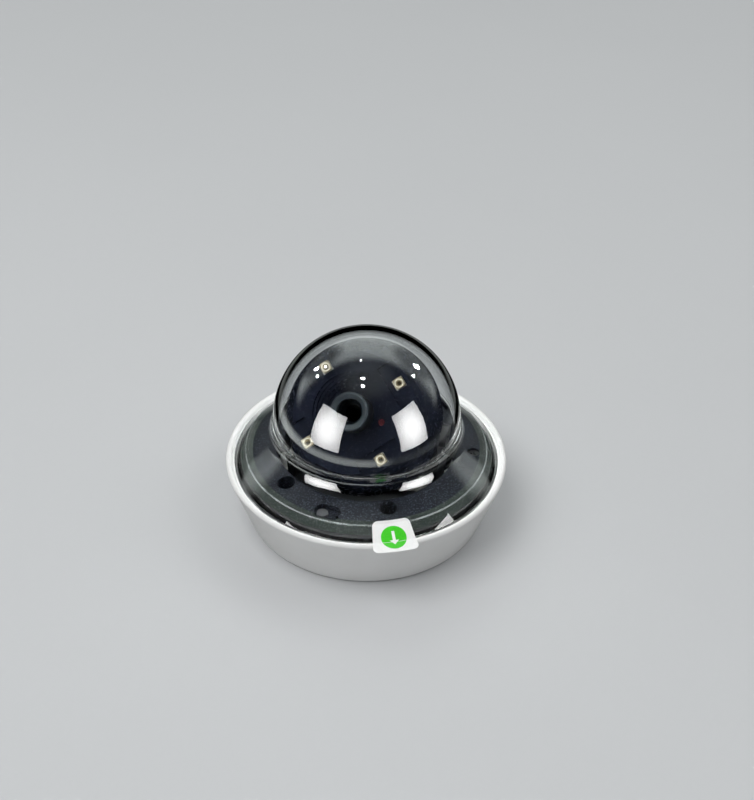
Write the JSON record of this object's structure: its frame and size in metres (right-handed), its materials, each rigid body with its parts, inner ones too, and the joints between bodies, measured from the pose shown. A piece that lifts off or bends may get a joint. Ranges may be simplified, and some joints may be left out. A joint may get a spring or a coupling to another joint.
{
  "type": "mini dome security camera",
  "caption": "Mini dome camera: white dish housing, clear dome cover, and a black ball head with lens and infrared lamps that pans, tilts and rolls.",
  "frame": {"origin": "centre of the flat mounting face under the housing, which is the centre of the box's bottom", "axes": "+Z from the mounting face to the top of the dome, -Y the way the lens looks at rest, +X along the tilt axis"},
  "size_m": [0.11, 0.11, 0.0785],
  "materials": {
    "housing_white": "fine matte moulded plastic",
    "clear_cover": "polished clear polycarbonate",
    "liner_black": "spark-eroded matte black plastic",
    "head_black": "satin black plastic",
    "yoke_black": "matte black glass-filled plastic",
    "rubber_black": "matte rubber",
    "board_green": "solder mask on glass fibre",
    "board_white": "white solder mask on aluminium board",
    "chip_black": "moulded epoxy",
    "cap_sleeve": "shrink sleeve",
    "pad_blue": "soft silicone pad",
    "bare_aluminium": "extruded, plain",
    "steel": "zinc-plated, bright",
    "dark_screw": "black oxide",
    "jack_metal": "pressed sheet shell",
    "contact_gold": "gold plated",
    "socket_ivory": "nylon",
    "ribbon_black": "black polyimide film",
    "mic_metal": "plated can",
    "led_cream": "ceramic-filled lamp body",
    "led_clear": "clear silicone dome",
    "eye_red": "tinted epoxy window",
    "barrel_black": "black anodised",
    "bezel_blue": "blue-grey matte anodised",
    "lens_glass": "coated optical glass",
    "filter_red": "coated filter glass",
    "sensor_dark": "sensor cover glass",
    "sticker_white": "satin coated paper",
    "button_grey": "satin plastic"
  },
  "bodies": {
    "base": {"housing": "housing_white", "back_gasket": "rubber_black", "main_board": "board_green", "board_chips": "chip_black", "thermal_pad": "pad_blue", "heat_sink": "bare_aluminium", "network_transformer": "chip_black", "capacitors": "cap_sleeve", "network_jack": "jack_metal", "jack_contacts": "contact_gold", "board_socket": "socket_ivory", "stack_screws": "steel", "pan_bearing": "yoke_black", "pan_retainer": "yoke_black", "retainer_screws": "steel", "inner_liner": "liner_black", "liner_screws": "dark_screw", "switch_board": "board_green", "reset_switch": "steel", "microphone": "mic_metal", "microphone_boot": "rubber_black"},
    "reset_key": {"reset_button": "button_grey"},
    "pan_table": {"turntable": "yoke_black", "ribbon_cable": "ribbon_black", "arm_socket": "socket_ivory"},
    "tilt_frame": {"tilt_ring": "yoke_black", "tilt_washers": "steel", "pivot_screws": "dark_screw"},
    "ball_head": {"head_shell": "head_black", "roll_retainer": "steel", "roll_washer": "steel", "led_board": "board_white", "led_packages": "led_cream", "led_domes": "led_clear", "light_sensor": "eye_red", "lens_barrel": "barrel_black", "lens_bezel": "bezel_blue", "front_glass": "lens_glass", "lens_elements": "lens_glass", "lens_holder": "chip_black", "filter_motor": "chip_black", "sensor_board": "board_green", "image_sensor": "sensor_dark", "sensor_screws": "steel", "rear_cap": "head_black", "head_screws": "steel"},
    "filter_slide": {"filter_frame": "chip_black", "filter_glass": "filter_red"},
    "cover": {"dome_cover": "clear_cover", "cover_seal": "rubber_black", "seal_sticker": "sticker_white"}
  },
  "joints": [
    {"name": "pan", "type": "hinge", "parent": "base", "child": "pan_table", "pos_m": [0, 0, 0.0423], "axis": [0, 0, 1], "range_deg": [-175, 175]},
    {"name": "tilt", "type": "hinge", "parent": "pan_table", "child": "tilt_frame", "pos_m": [0, 0, 0.0423], "axis": [1, 0, 0], "range_deg": [-49, 41]},
    {"name": "roll", "type": "hinge", "parent": "tilt_frame", "child": "ball_head", "pos_m": [0, 0, 0.0423], "axis": [0, -0.7547, 0.6561], "range_deg": [-90, 90]},
    {"name": "filter_shift", "type": "slide", "parent": "ball_head", "child": "filter_slide", "axis": [-1, 0, 0], "range_m": [0, 0.0066]},
    {"name": "reset_press", "type": "slide", "parent": "base", "child": "reset_key", "axis": [0, 0, -1], "range_m": [0, 0.0004], "stiffness_N_per_m": 3000},
    {"name": "cover_lift", "type": "slide", "parent": "base", "child": "cover", "axis": [0, 0, 1], "range_m": [0, 0.07]}
  ]
}
